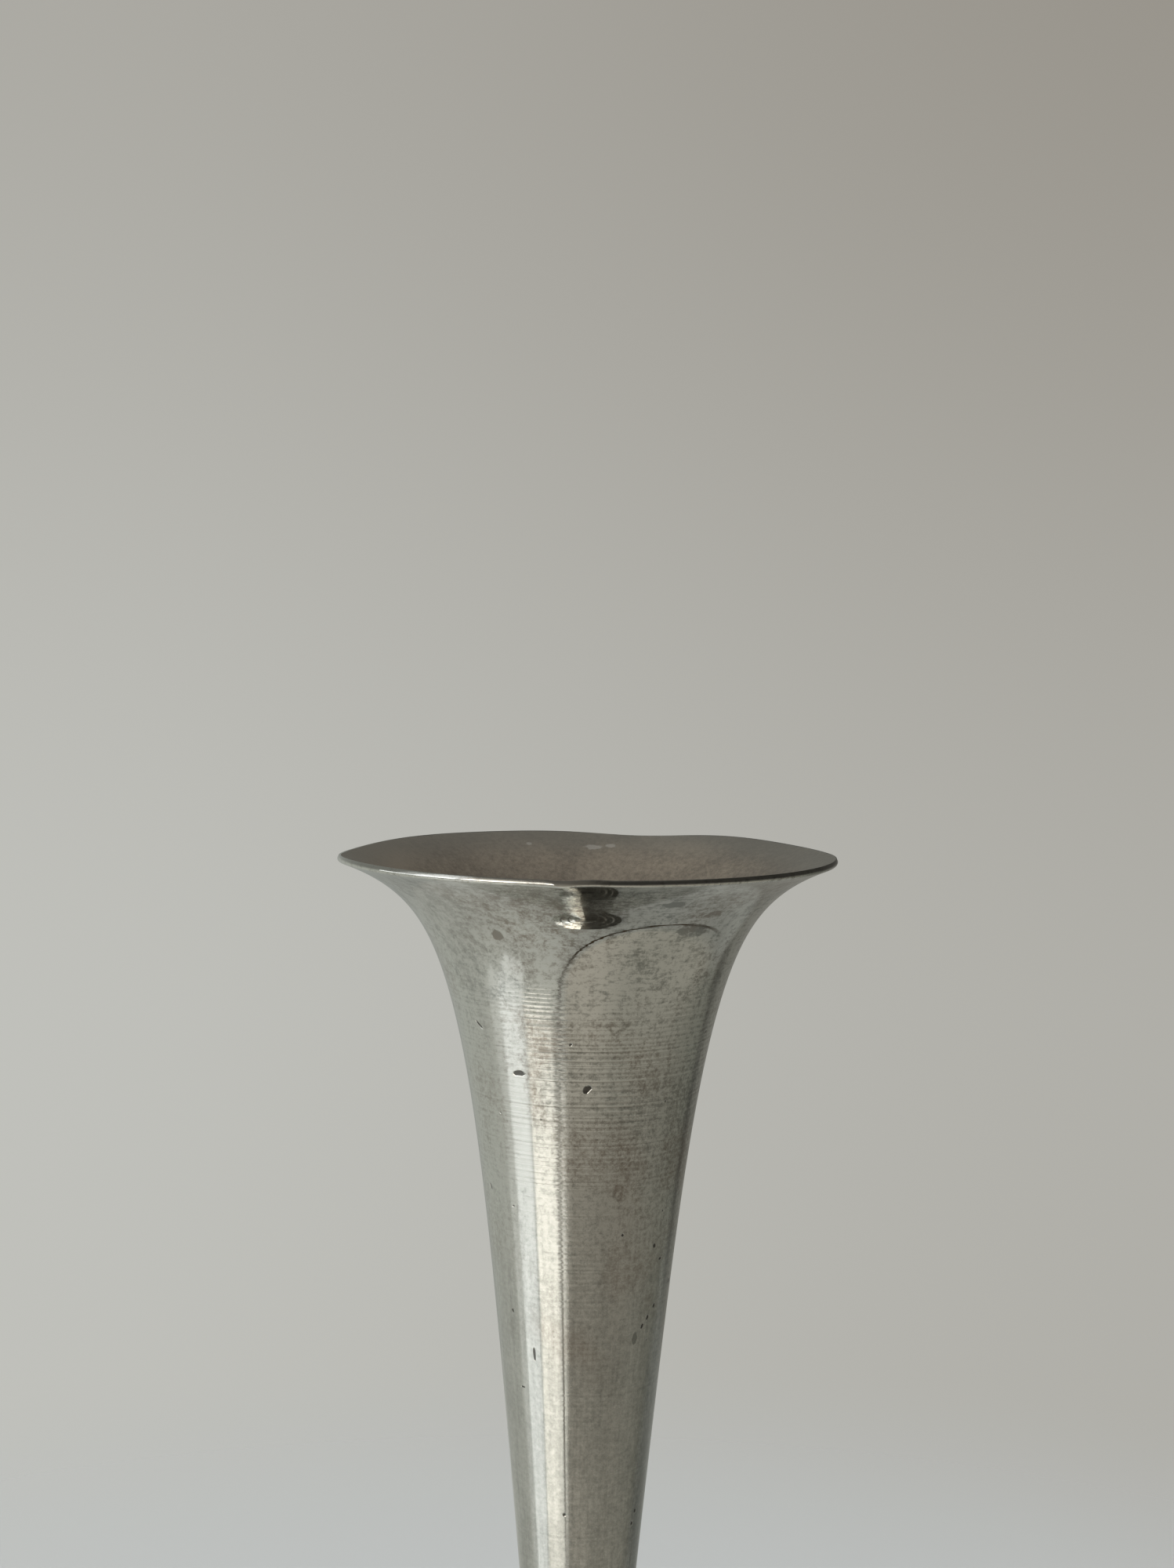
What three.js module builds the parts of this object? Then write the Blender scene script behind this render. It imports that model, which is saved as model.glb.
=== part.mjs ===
// Trumpet bud vase: a spun metal trumpet drawn down by a tie rod onto a weighted, stepped round foot.
// Millimetres, +Z up. The vase stands on the XY plane and its axis is the Z axis.
import * as THREE from 'three';
import { mergeVertices } from 'three/addons/utils/BufferGeometryUtils.js';

// Trumpet, outside. The straight taper of the stem carries three curves that die away along it:
// the lip and the bell from the mouth down, and the ankle from the foot up.
const MOUTH_RADIUS = 31.5;
const LIP_DEPTH = 3.6;
const BELL_SPREAD = 8.35;
const BELL_DEPTH = 15.5;
const STEM_TOP_RADIUS = 16.25;
const STEM_LENGTH = 161;
const WAIST_RADIUS = 4;
const WAIST_HEIGHT = 30;
const ANKLE_RADIUS = 10.2;
const ANKLE_RISE = 12;
const TRUMPET_WALL = 0.8;

// Plug soldered into the ankle, which holds the water in and takes the rod's thread.
const PLUG_HEIGHT = 14;
const ROD_ENGAGEMENT = 9;

// Turned collar between the stem and the foot: an upright edge, then a bevel up to the ankle.
const COLLAR_RADIUS = 15.4;
const COLLAR_EDGE = 1.2;
const COLLAR_TOP_RADIUS = 10.6;

// Stepped foot, spun from sheet: two tiers, each with an upright edge, a bevel and a narrow ledge.
const LOWER_TIER_RADIUS = 32.4;
const UPPER_TIER_RADIUS = 23;
const TIER_LEDGE = 2;
const RIM_HEIGHT = 2.4;
const STEP_HEIGHT = 1;
const BEVEL_DEGREES = 30;
const CORNER_ROUNDING = 0.5;
const FOOT_WALL = 0.9;

// Clamp hardware: an M5 rod, a plain washer and a thin nut.
const ROD_RADIUS = 2.5;
const ROD_PROUD = 0.4;
const WASHER_RADIUS = 7.5;
const WASHER_THICKNESS = 1;
const NUT_ACROSS_FLATS = 8;
const NUT_HEIGHT = 2.7;
const POCKET_MARGIN = 1;

// Closing plate and the felt that the vase stands on.
const PLATE_THICKNESS = 1;
const PAD_MARGIN = 0.6;
const PAD_THICKNESS = 1.2;
const PAD_PROUD = 0.8;

// Clearances: round pieces in one another, and faces that are glued, soldered or clamped together.
const FIT_GAP = 0.2;
const SEAT_GAP = 0.05;

// Facets round the axis, and points along the curves.
const VASE_SIDES = 48;
const CORE_SIDES = 32;
const WALL_STEPS = 26;
const LIP_CROWDING = 1.3;
const LIP_STEPS = 4;
const EDGE_STEPS = 3;

// Heights, from the table up.
const plateBottom = PAD_THICKNESS + SEAT_GAP;
const plateTop = plateBottom + PLATE_THICKNESS;
const weightBottom = plateTop + FIT_GAP;
const nutBottom = weightBottom + ROD_PROUD;
const washerBottom = nutBottom + NUT_HEIGHT + SEAT_GAP;
const pocketTop = washerBottom + WASHER_THICKNESS + SEAT_GAP;
const bevelRise = Math.tan(THREE.MathUtils.degToRad(BEVEL_DEGREES));
const rimTop = PAD_PROUD + RIM_HEIGHT;
const lowerLedge = rimTop + (LOWER_TIER_RADIUS - UPPER_TIER_RADIUS - TIER_LEDGE) * bevelRise;
const stepTop = lowerLedge + STEP_HEIGHT;
const footTop = stepTop + (UPPER_TIER_RADIUS - COLLAR_RADIUS - TIER_LEDGE) * bevelRise;
const collarBottom = footTop + SEAT_GAP;
const collarTop = collarBottom + COLLAR_EDGE + (COLLAR_RADIUS - COLLAR_TOP_RADIUS) * bevelRise;
const stemBottom = collarTop + SEAT_GAP;
const boreRadius = ROD_RADIUS + FIT_GAP;

const pewter = new THREE.MeshStandardMaterial({ color: 0x9a978f, roughness: 0.34, metalness: 1 });
const brass = new THREE.MeshStandardMaterial({ color: 0xb08d4c, roughness: 0.4, metalness: 1 });
const steel = new THREE.MeshStandardMaterial({ color: 0x8f9296, roughness: 0.45, metalness: 1 });
const castIron = new THREE.MeshStandardMaterial({ color: 0x3b3a38, roughness: 0.8, metalness: 0.6 });
const tinplate = new THREE.MeshStandardMaterial({ color: 0xa7a8a6, roughness: 0.5, metalness: 1 });
const felt = new THREE.MeshStandardMaterial({ color: 0x39443a, roughness: 1, metalness: 0 });

const vase = new THREE.Group();

function addPiece(name, geometry, material) {
  const piece = new THREE.Mesh(geometry, material);
  piece.name = name;
  vase.add(piece);
}

// Turns an outline of (radius, height) points about the Z axis. Points run up the outside,
// and the outline starts and ends on the axis or closes on itself.
function turned(outline, sides) {
  const lathe = new THREE.LatheGeometry(outline, sides);
  lathe.rotateX(Math.PI / 2);
  lathe.deleteAttribute('normal');
  lathe.deleteAttribute('uv');
  const geometry = mergeVertices(lathe);
  const index = geometry.getIndex().array;
  const corners = [];
  for (let i = 0; i < index.length; i += 3) {
    const [a, b, c] = index.slice(i, i + 3);
    if (a !== b && b !== c && c !== a) corners.push(a, b, c);
  }
  geometry.setIndex(corners);
  geometry.computeVertexNormals();
  return geometry;
}

function point(radius, height) {
  return new THREE.Vector2(radius, height);
}

function arc(centreRadius, centreHeight, radius, fromDegrees, toDegrees, steps) {
  const points = [];
  for (let i = 0; i <= steps; i += 1) {
    const angle = THREE.MathUtils.degToRad(fromDegrees + ((toDegrees - fromDegrees) * i) / steps);
    points.push(point(centreRadius + radius * Math.cos(angle), centreHeight + radius * Math.sin(angle)));
  }
  return points;
}

// Rounds off the corners of an open outline, whose two ends stay as they are.
function rounded(corners) {
  const points = [corners[0]];
  for (let i = 1; i < corners.length - 1; i += 1) {
    const back = corners[i - 1].clone().sub(corners[i]).normalize();
    const onward = corners[i + 1].clone().sub(corners[i]).normalize();
    const half = Math.acos(back.dot(onward)) / 2;
    const toCentre = back.clone().add(onward).setLength(CORNER_ROUNDING / Math.sin(half));
    const start = back.multiplyScalar(CORNER_ROUNDING / Math.tan(half)).sub(toCentre);
    const end = onward.multiplyScalar(CORNER_ROUNDING / Math.tan(half)).sub(toCentre);
    for (let step = 0; step <= EDGE_STEPS; step += 1) {
      const spoke = start.clone().lerp(end, step / EDGE_STEPS).setLength(CORNER_ROUNDING);
      points.push(spoke.add(toCentre).add(corners[i]));
    }
  }
  return [...points, corners.at(-1)];
}

// Moves the sides of an open outline by a distance to their left, which is inwards on the way up.
function movedIn(corners, distance) {
  const lefts = corners.slice(1).map((corner, i) => {
    const along = corner.clone().sub(corners[i]).normalize();
    return point(-along.y, along.x);
  });
  return corners.map((corner, i) => {
    const before = lefts[Math.max(i - 1, 0)];
    const after = lefts[Math.min(i, lefts.length - 1)];
    const shift = before.clone().add(after).multiplyScalar(distance / (1 + before.dot(after)));
    return shift.add(corner);
  });
}

function ring(inside, outside, bottom, top) {
  const corner = point(inside, bottom);
  return [corner, point(outside, bottom), point(outside, top), point(inside, top), corner.clone()];
}

// Outside radius of the trumpet at a depth below the edge of its lip.
function trumpetRadius(depth) {
  const taper = (WAIST_RADIUS - STEM_TOP_RADIUS) / (STEM_LENGTH - WAIST_HEIGHT);
  const lipSpread = MOUTH_RADIUS - STEM_TOP_RADIUS - BELL_SPREAD;
  const ankleSpread = ANKLE_RADIUS - STEM_TOP_RADIUS - taper * STEM_LENGTH;
  return STEM_TOP_RADIUS + taper * depth
    + lipSpread * Math.exp(-depth / LIP_DEPTH)
    + BELL_SPREAD * Math.exp(-depth / BELL_DEPTH)
    + ankleSpread * Math.exp((depth - STEM_LENGTH) / ANKLE_RISE);
}

function trumpetNormal(depth) {
  const reach = 0.001;
  const slope = (trumpetRadius(depth + reach) - trumpetRadius(depth - reach)) / (2 * reach);
  return point(1, slope).normalize();
}

// Point of the trumpet's wall, a given inset under its outside.
function wallPoint(depth, inset) {
  const outside = point(trumpetRadius(depth), stemBottom + STEM_LENGTH - depth);
  return outside.addScaledVector(trumpetNormal(depth), -inset);
}

// Wall points from the foot up to a depth below the lip, closest where the curves are tightest.
function wallCurve(inset, upToDepth, steps) {
  const lowest = STEM_LENGTH - inset * trumpetNormal(STEM_LENGTH).y;
  const points = [];
  for (let i = steps; i >= 0; i -= 1) {
    const share = (1 - Math.cos(Math.PI * (i / steps) ** LIP_CROWDING)) / 2;
    points.push(wallPoint(upToDepth + (lowest - upToDepth) * share, inset));
  }
  return points;
}

// Trumpet: one spun shell, open at both ends, with a rounded lip.
const outsideWall = wallCurve(0, 0, WALL_STEPS);
const insideWall = wallCurve(TRUMPET_WALL, 0, WALL_STEPS).reverse();
const lipCentre = wallPoint(0, TRUMPET_WALL / 2);
const lipAngle = THREE.MathUtils.radToDeg(trumpetNormal(0).angle()) - 360;
const lip = arc(lipCentre.x, lipCentre.y, TRUMPET_WALL / 2, lipAngle, lipAngle + 180, LIP_STEPS).slice(1, -1);
const trumpetOutline = [...outsideWall, ...lip, ...insideWall, outsideWall[0].clone()];
addPiece('trumpet_body', turned(trumpetOutline, VASE_SIDES), pewter);

// Stem plug: a turned stopper that follows the inside of the ankle, with a blind hole for the rod.
const plugSide = wallCurve(TRUMPET_WALL + FIT_GAP, STEM_LENGTH - PLUG_HEIGHT, EDGE_STEPS * 2);
const plugBottom = plugSide[0].y;
const plugTop = plugSide.at(-1).y;
const holeTop = plugBottom + ROD_ENGAGEMENT + FIT_GAP;
const plugOutline = [
  point(0, holeTop), point(boreRadius, holeTop), point(boreRadius, plugBottom),
  ...plugSide,
  point(0, plugTop),
];
addPiece('stem_plug', turned(plugOutline, CORE_SIDES), brass);

// Tie rod: screwed into the plug, it reaches down through the foot to the nut.
const rodTop = holeTop - FIT_GAP;
const rodOutline = [
  point(0, weightBottom), point(ROD_RADIUS, weightBottom), point(ROD_RADIUS, rodTop), point(0, rodTop),
];
addPiece('tie_rod', turned(rodOutline, CORE_SIDES), steel);

// Joint collar: a bevelled ring, clamped between the ankle and the foot.
const collarSide = rounded([
  point(boreRadius, collarBottom),
  point(COLLAR_RADIUS, collarBottom),
  point(COLLAR_RADIUS, collarBottom + COLLAR_EDGE),
  point(COLLAR_TOP_RADIUS, collarTop),
  point(boreRadius, collarTop),
]);
addPiece('joint_collar', turned([...collarSide, collarSide[0].clone()], VASE_SIDES), pewter);

// Corners of the foot's outside, from its rim up over both tiers to the bore.
const footCorners = [
  point(LOWER_TIER_RADIUS, PAD_PROUD),
  point(LOWER_TIER_RADIUS, rimTop),
  point(UPPER_TIER_RADIUS + TIER_LEDGE, lowerLedge),
  point(UPPER_TIER_RADIUS, lowerLedge),
  point(UPPER_TIER_RADIUS, stepTop),
  point(COLLAR_RADIUS + TIER_LEDGE, footTop),
  point(boreRadius, footTop),
];

// Foot shell: the two tiers with a hole for the rod, open underneath.
const shellOutline = [
  ...rounded(footCorners), ...movedIn(footCorners, FOOT_WALL).reverse(), footCorners[0].clone(),
];
addPiece('foot_shell', turned(shellOutline, VASE_SIDES), pewter);

// Foot weight: a casting that fills the shell, with a pocket underneath for the washer and nut.
const weightInset = FOOT_WALL + FIT_GAP;
const pocketRadius = WASHER_RADIUS + POCKET_MARGIN;
const weightOutline = [
  point(pocketRadius, weightBottom),
  point(LOWER_TIER_RADIUS - weightInset, weightBottom),
  ...movedIn(footCorners, weightInset).slice(1),
  point(boreRadius, pocketTop),
  point(pocketRadius, pocketTop),
  point(pocketRadius, weightBottom),
];
addPiece('foot_weight', turned(weightOutline, CORE_SIDES), castIron);

// Washer and nut: they draw the rod, and so the trumpet, down onto the foot.
const washerOutline = ring(boreRadius, WASHER_RADIUS, washerBottom, washerBottom + WASHER_THICKNESS);
addPiece('clamp_washer', turned(washerOutline, CORE_SIDES), steel);

const nutCorner = NUT_ACROSS_FLATS / 2 / Math.cos(Math.PI / 6);
const nutShape = new THREE.Shape();
for (let corner = 0; corner < 6; corner += 1) {
  const angle = (corner * Math.PI) / 3;
  const draw = corner === 0 ? 'moveTo' : 'lineTo';
  nutShape[draw](nutCorner * Math.cos(angle), nutCorner * Math.sin(angle));
}
nutShape.closePath();
nutShape.holes.push(new THREE.Path().absarc(0, 0, boreRadius, 0, 2 * Math.PI, true));
const nutGeometry = new THREE.ExtrudeGeometry(nutShape, {
  depth: NUT_HEIGHT, bevelEnabled: false, curveSegments: CORE_SIDES / 2,
});
nutGeometry.translate(0, 0, nutBottom);
addPiece('clamp_nut', nutGeometry, steel);

// Base plate: a disc pressed into the rim of the shell, which closes the foot.
const plateRadius = LOWER_TIER_RADIUS - FOOT_WALL - FIT_GAP;
const plateOutline = [
  point(0, plateBottom), point(plateRadius, plateBottom), point(plateRadius, plateTop), point(0, plateTop),
];
addPiece('base_plate', turned(plateOutline, VASE_SIDES), tinplate);

// Felt pad: glued under the plate and a little proud of the rim, so that the vase stands on it.
const padRadius = plateRadius - PAD_MARGIN;
const padOutline = [
  point(0, 0), point(padRadius, 0), point(padRadius, PAD_THICKNESS), point(0, PAD_THICKNESS),
];
addPiece('felt_pad', turned(padOutline, VASE_SIDES), felt);

export default vase;
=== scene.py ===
import math

import bmesh
import bpy
from mathutils import Matrix, Vector, noise


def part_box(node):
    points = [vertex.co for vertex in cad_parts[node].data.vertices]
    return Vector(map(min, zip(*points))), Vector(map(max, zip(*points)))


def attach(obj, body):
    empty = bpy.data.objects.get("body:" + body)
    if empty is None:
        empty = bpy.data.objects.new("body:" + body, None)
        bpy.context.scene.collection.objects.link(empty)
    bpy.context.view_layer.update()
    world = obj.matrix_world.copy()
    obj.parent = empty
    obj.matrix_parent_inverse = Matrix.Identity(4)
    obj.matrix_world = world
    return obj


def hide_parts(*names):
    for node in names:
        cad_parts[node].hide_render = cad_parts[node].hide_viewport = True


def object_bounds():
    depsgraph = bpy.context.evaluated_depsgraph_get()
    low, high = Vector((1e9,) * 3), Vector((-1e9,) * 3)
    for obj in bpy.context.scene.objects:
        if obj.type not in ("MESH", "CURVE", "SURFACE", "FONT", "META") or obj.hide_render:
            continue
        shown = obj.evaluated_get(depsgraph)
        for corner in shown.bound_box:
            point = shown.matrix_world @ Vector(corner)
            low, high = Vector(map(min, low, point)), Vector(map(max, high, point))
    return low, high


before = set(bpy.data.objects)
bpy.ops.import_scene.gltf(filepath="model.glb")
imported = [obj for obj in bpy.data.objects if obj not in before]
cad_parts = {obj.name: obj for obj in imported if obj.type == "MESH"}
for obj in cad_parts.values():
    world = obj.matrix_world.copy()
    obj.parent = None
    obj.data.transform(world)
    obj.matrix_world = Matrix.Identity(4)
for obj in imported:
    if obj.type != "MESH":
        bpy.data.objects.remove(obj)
cad_low, cad_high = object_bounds()
scene = bpy.context.scene
scene.view_settings.view_transform = "Standard"

# Camera
# A close view from just above the mouth, in which the foot and almost half of the stem fall below the
# picture. The camera is rolled a little, so the vase leans to the right.
MM = 0.001
PHOTO_WIDTH, PHOTO_HEIGHT = 1498, 2000
SENSOR_WIDTH = 36
FOCAL_PIXELS = 3000
MOUTH_PIXEL = (751.2, 1087.5)
VIEW_DISTANCE = 300 * MM
VIEW_ELEVATION = math.radians(6.0)
VIEW_ROLL = math.radians(0.8)
NEAREST_SEEN = 10 * MM

camera_data = bpy.data.cameras.new("camera")
camera_data.sensor_width = SENSOR_WIDTH
camera_data.lens = FOCAL_PIXELS * SENSOR_WIDTH / PHOTO_HEIGHT
camera_data.clip_start = NEAREST_SEEN
camera = bpy.data.objects.new("camera", camera_data)
scene.collection.objects.link(camera)
scene.camera = camera
mouth_centre = Vector((0, 0, cad_high.z))
towards_camera = Vector((0, -math.cos(VIEW_ELEVATION), math.sin(VIEW_ELEVATION)))
pitch_down = VIEW_ELEVATION - math.atan((MOUTH_PIXEL[1] - PHOTO_HEIGHT / 2) / FOCAL_PIXELS)
yaw = math.atan((MOUTH_PIXEL[0] - PHOTO_WIDTH / 2) / FOCAL_PIXELS)
aim = (
    Matrix.Rotation(yaw, 4, "Z")
    @ Matrix.Rotation(math.radians(90) - pitch_down, 4, "X")
    @ Matrix.Rotation(VIEW_ROLL, 4, "Z")
)
camera.matrix_world = Matrix.Translation(mouth_centre + towards_camera * VIEW_DISTANCE) @ aim


# Stage
# A pale table top that fades into a plain warm backdrop, a tall soft window with one bar and curtains at
# the left, and a dim room at the right past the table's edge, so that the metal has something to mirror.
def feed(tree, socket, source):
    if isinstance(source, Measure):
        source = source.socket
    if isinstance(source, bpy.types.NodeSocket):
        tree.links.new(source, socket)
    else:
        socket.default_value = source


def add_node(tree, kind, settings, inputs):
    node = tree.nodes.new(kind)
    for name, value in settings.items():
        setattr(node, name, value)
    for key, source in inputs.items():
        feed(tree, node.inputs[key], source)
    return node


class Measure:
    """A number that varies over a surface or a mesh. A formula of measures becomes Math nodes."""

    def __init__(self, tree, socket):
        self.tree = tree
        self.socket = socket

    def put(self, operation, *operands):
        node = add_node(self.tree, "ShaderNodeMath", {"operation": operation}, dict(enumerate(operands)))
        return Measure(self.tree, node.outputs[0])

    def by(self, operation, *others):
        return self.put(operation, self, *others)

    def __add__(self, other):
        return self.put("ADD", self, other)

    __radd__ = __add__

    def __sub__(self, other):
        return self.put("SUBTRACT", self, other)

    def __rsub__(self, other):
        return self.put("SUBTRACT", other, self)

    def __mul__(self, other):
        return self.put("MULTIPLY", self, other)

    __rmul__ = __mul__

    def __truediv__(self, other):
        return self.put("DIVIDE", self, other)

    def __rtruediv__(self, other):
        return self.put("DIVIDE", other, self)

    def __neg__(self):
        return self.put("MULTIPLY", self, -1)


def parts_of(tree, vector):
    split = add_node(tree, "ShaderNodeSeparateXYZ", {}, {"Vector": vector})
    return [Measure(tree, socket) for socket in split.outputs]


def ramp(measure, start, end, low=0.0, high=1.0):
    """A soft step of a measure, from low where it is at the start to high at the end."""
    limits = {"From Min": start, "From Max": end, "To Min": low, "To Max": high}
    node = add_node(
        measure.tree, "ShaderNodeMapRange", {"interpolation_type": "SMOOTHSTEP"}, {"Value": measure, **limits}
    )
    return Measure(measure.tree, node.outputs["Result"])


def mix_colours(tree, share, first, second):
    node = add_node(tree, "ShaderNodeMix", {"data_type": "RGBA"}, {0: share, 6: first, 7: second})
    return node.outputs[2]


def rgb(red, green, blue):
    return (red, green, blue, 1)


# The room's colour by turn: degrees from the camera's side, positive to the right.
ROOM_BY_TURN = {
    -180: rgb(0.25, 0.26, 0.24),
    -160: rgb(0.41, 0.425, 0.39),
    -140: rgb(0.49, 0.51, 0.465),
    -96: rgb(0.54, 0.56, 0.51),
    -22: rgb(0.42, 0.40, 0.35),
    -10: rgb(0.257, 0.238, 0.201),
    45: rgb(0.257, 0.238, 0.201),
    75: rgb(0.253, 0.244, 0.208),
    126: rgb(0.21, 0.212, 0.18),
    136: rgb(0.12, 0.12, 0.105),
    146: rgb(0.20, 0.20, 0.175),
    180: rgb(0.24, 0.235, 0.21),
}
DARK_CORNER = rgb(0.09, 0.087, 0.076)
CEILING = rgb(0.26, 0.25, 0.23)
ROOM_FLOOR = rgb(0.50, 0.475, 0.41)
ROOM_FLOOR_DIM = rgb(0.37, 0.36, 0.31)
BACKDROP_PALE = rgb(0.53, 0.532, 0.50)
BACKDROP_SHADE = rgb(0.31, 0.29, 0.255)
# Where one tone passes into the next, as the share of a direction that points up or to the right.
CORNER_UP = (-0.3, 0.1)
CORNER_RIGHT = (-0.1, 0.25)
GROUND_UP = (-0.44, -0.6)
GROUND_RIGHT = (0.0, 0.5)
CEILING_UP = (0.7, 0.9)
BACKDROP_UP = (-0.2, 0.3)
BACKDROP_RIGHT = (-0.3, 0.3)

world = bpy.data.worlds.new("studio")
world.use_nodes = True
scene.world = world
tree = world.node_tree
across, ahead, up = parts_of(tree, add_node(tree, "ShaderNodeTexCoord", {}, {}).outputs["Generated"])
turn = across.by("ARCTAN2", -ahead) / math.tau + 0.5
room = add_node(tree, "ShaderNodeValToRGB", {}, {"Fac": turn})
stops = room.color_ramp.elements
stops.remove(stops[1])
for degrees, colour in ROOM_BY_TURN.items():
    stop = stops.new(degrees / 360 + 0.5) if degrees > -180 else stops[0]
    stop.color = colour
corner = ramp(up, *CORNER_UP) * ramp(across, *CORNER_RIGHT)
walls = mix_colours(tree, corner, room.outputs["Color"], DARK_CORNER)
ground = mix_colours(tree, ramp(across, *GROUND_RIGHT), ROOM_FLOOR, ROOM_FLOOR_DIM)
above_ground = mix_colours(tree, ramp(up, *GROUND_UP), walls, ground)
surroundings = mix_colours(tree, ramp(up, *CEILING_UP), above_ground, CEILING)
backdrop_shade = 0.55 * ramp(up, *BACKDROP_UP) + 0.45 * ramp(across, *BACKDROP_RIGHT)
backdrop = mix_colours(tree, backdrop_shade, BACKDROP_PALE, BACKDROP_SHADE)
camera_ray = add_node(tree, "ShaderNodeLightPath", {}, {}).outputs["Is Camera Ray"]
seen = mix_colours(tree, camera_ray, surroundings, backdrop)
feed(tree, tree.nodes["Background"].inputs["Color"], seen)

FLOOR_RADIUS = 360 * MM
FLOOR_CORNERS = 96
FLOOR_COLOUR = rgb(0.56, 0.582, 0.595)
FLOOR_LIT = rgb(0.58, 0.595, 0.565)
FLOOR_DIM = rgb(0.36, 0.37, 0.35)
EDGE_SHADOW = rgb(0.04, 0.025, 0.012)
EDGE_DISTANCE = 54 * MM
EDGE_TURN = math.radians(48)
EDGE_LINE_NEAR = 3.5 * MM
EDGE_LINE_FAR = 14 * MM
EDGE_FADE_NEAR = 12 * MM
EDGE_FADE_FAR = 40 * MM
EDGE_BOW = 20 * MM
FADE_END = 0.99 * FLOOR_RADIUS
FADE_START = 0.78 * FLOOR_RADIUS
FADE_START_SHOWN = 0.48 * FLOOR_RADIUS
# Where these change on the table, as distances from the vase, along its edge, across it or ahead.
LINE_AWAY = (100 * MM, 300 * MM)
FADE_AWAY = (140 * MM, 250 * MM)
GLOSS_AWAY = (70 * MM, 130 * MM)
BOW_ALONG = (-130 * MM, -240 * MM)
LINE_ALONG = (250 * MM, 120 * MM)
FADE_ALONG = (20 * MM, 140 * MM)
DIM_ACROSS = (-90 * MM, 40 * MM)
DIM_AHEAD = (110 * MM, 220 * MM)
DIM_LEFT_ACROSS = (-40 * MM, -120 * MM)
DIM_LEFT_AHEAD = (-20 * MM, 80 * MM)


def start_material(name):
    material = bpy.data.materials.new(name)
    material.use_nodes = True
    return material, material.node_tree, material.node_tree.nodes["Principled BSDF"]


floor_angles = [math.tau * corner / FLOOR_CORNERS for corner in range(FLOOR_CORNERS)]
floor_mesh = bpy.data.meshes.new("floor")
floor_mesh.from_pydata(
    [(FLOOR_RADIUS * math.cos(angle), FLOOR_RADIUS * math.sin(angle), 0) for angle in floor_angles],
    [],
    [tuple(range(FLOOR_CORNERS))],
)
floor = bpy.data.objects.new("floor", floor_mesh)
scene.collection.objects.link(floor)
floor_paint, tree, shader = start_material("floor_paint")
shader.inputs["Roughness"].default_value = 0.9
shader.inputs["Specular IOR Level"].default_value = 0.0
shader.inputs["Coat IOR"].default_value = 2.4
shader.inputs["Coat Roughness"].default_value = 0.12
floor_across, floor_ahead, _ = parts_of(tree, add_node(tree, "ShaderNodeTexCoord", {}, {}).outputs["Object"])
floor_distance = (floor_across * floor_across + floor_ahead * floor_ahead).by("SQRT")
along_edge = floor_across * math.cos(EDGE_TURN) + floor_ahead * math.sin(EDGE_TURN)
past_edge = floor_across * math.sin(EDGE_TURN) - floor_ahead * math.cos(EDGE_TURN) - EDGE_DISTANCE
past_edge = past_edge - ramp(along_edge, *BOW_ALONG, 0.0, EDGE_BOW)
camera_ray = Measure(tree, add_node(tree, "ShaderNodeLightPath", {}, {}).outputs["Is Camera Ray"])
edge_width = ramp(floor_distance, *LINE_AWAY, EDGE_LINE_NEAR, EDGE_LINE_FAR)
edge_line = past_edge.by("LESS_THAN", 0.0) * (past_edge + edge_width).by("GREATER_THAN", 0.0)
edge_line = edge_line * ramp(along_edge, *LINE_ALONG)
edge_fade = ramp(floor_distance, *FADE_AWAY, EDGE_FADE_NEAR, EDGE_FADE_FAR)
edge_fade = edge_fade + ramp(along_edge, *FADE_ALONG, 0.0, EDGE_FADE_FAR)
table = ramp(past_edge / edge_fade, 1.0, 0.0)
gloss = ramp(floor_distance, *GLOSS_AWAY, 0.3, 1.0)
feed(tree, shader.inputs["Coat Weight"], gloss * (1 - camera_ray) * (1 - edge_line))
dimness = ramp(floor_across, *DIM_ACROSS) * ramp(floor_ahead, *DIM_AHEAD, 1.0, 0.65)
dim_left = ramp(floor_across, *DIM_LEFT_ACROSS) * ramp(floor_ahead, *DIM_LEFT_AHEAD, 0.0, 0.35)
table_top = mix_colours(tree, dimness + dim_left, FLOOR_LIT, FLOOR_DIM)
mirrored_floor = mix_colours(tree, edge_line, table_top, EDGE_SHADOW)
feed(tree, shader.inputs["Base Color"], mix_colours(tree, camera_ray, mirrored_floor, FLOOR_COLOUR))
shown = table.by("MAXIMUM", camera_ray)
fade_start = FADE_START + (FADE_START_SHOWN - FADE_START) * camera_ray
feed(tree, shader.inputs["Alpha"], shown * ramp(floor_distance, FADE_END, fade_start))
floor_mesh.materials.append(floor_paint)

WINDOW_DISTANCE = 1200 * MM
SILL = 60 * MM
SIDE_LIGHT_TOP = 300 * MM
WARM_TRANSOM = 700 * MM
COOL_TRANSOM = 750 * MM
WARM_TOP = 900 * MM
COOL_TOP = 1300 * MM
CURTAIN_TOP = 900 * MM
WARM_LIGHT = (1.0, 0.96, 0.88)
COOL_LIGHT = (0.93, 0.97, 1.0)


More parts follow.
